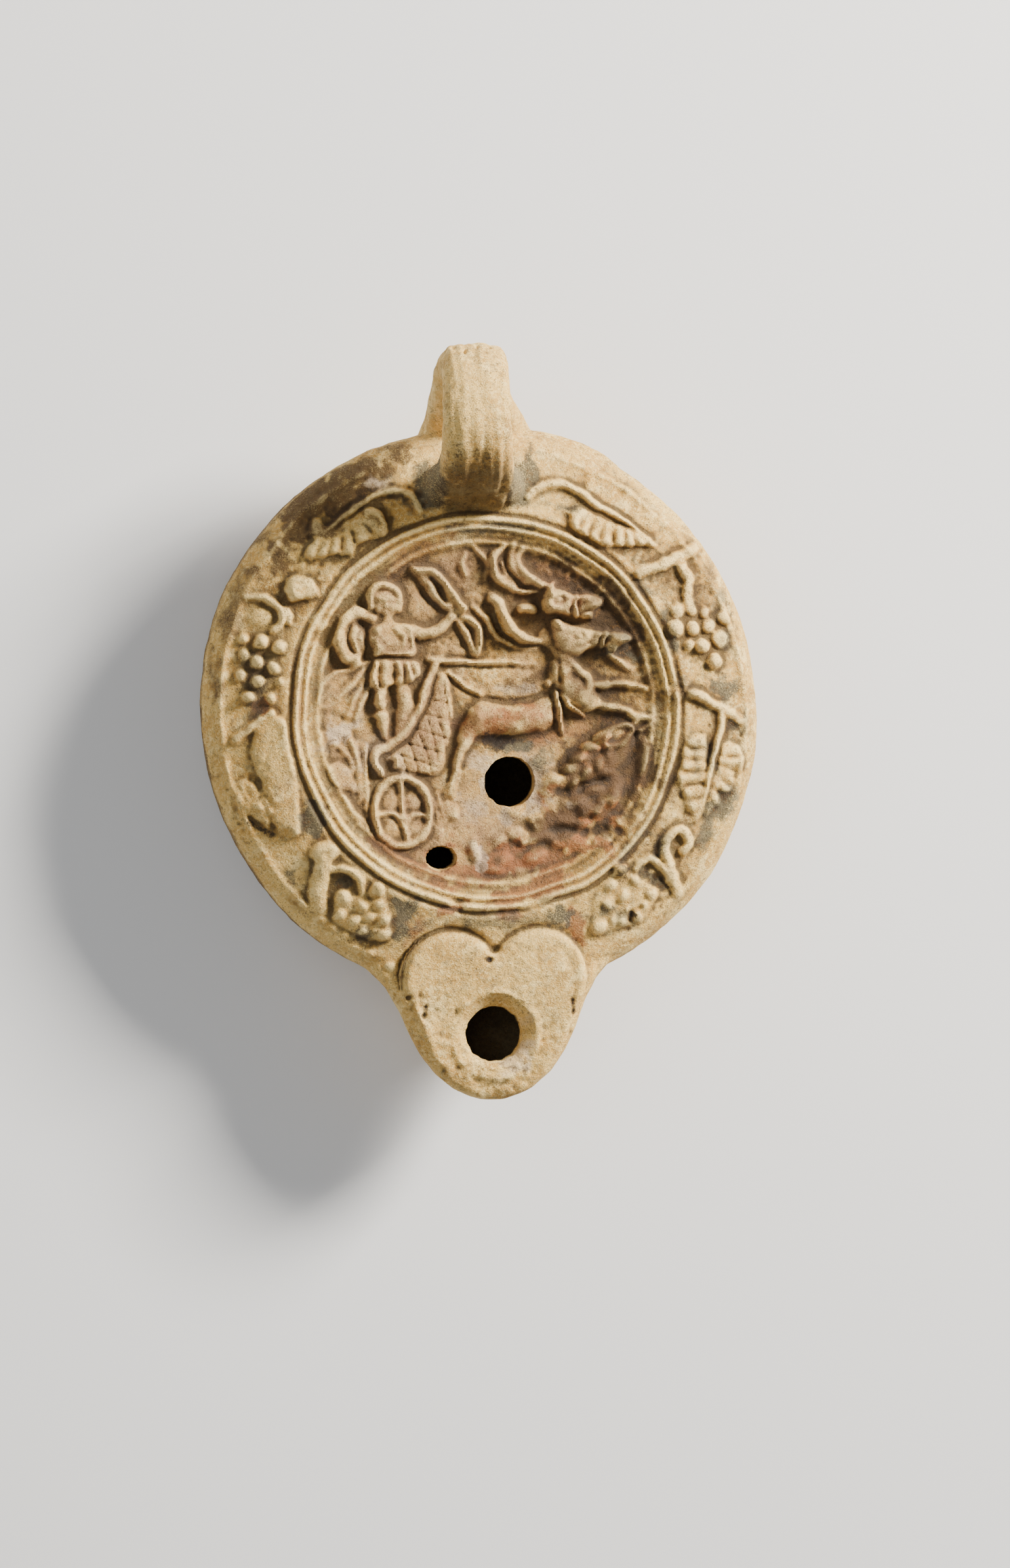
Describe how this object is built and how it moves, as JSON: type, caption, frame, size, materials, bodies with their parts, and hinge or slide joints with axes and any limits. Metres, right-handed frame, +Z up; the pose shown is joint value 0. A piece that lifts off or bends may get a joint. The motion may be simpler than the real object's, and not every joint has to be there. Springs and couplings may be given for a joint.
{
  "type": "ancient oil lamp",
  "caption": "Mould-made terracotta oil lamp: round hollow body, chariot scene on a sunken disc, vine-wreath shoulder, heart-shaped nozzle and a pierced loop handle.",
  "frame": {"origin": "centre of the flat base, on the plane the lamp stands on", "axes": "+Z up, +Y towards the handle (the nozzle points along -Y), +X to the right of someone who looks down with the handle away from them"},
  "size_m": [0.0946, 0.1261, 0.0475],
  "materials": {
    "terracotta": "matte"
  },
  "bodies": {
    "root": {"oil_lamp": "terracotta"}
  },
  "joints": []
}
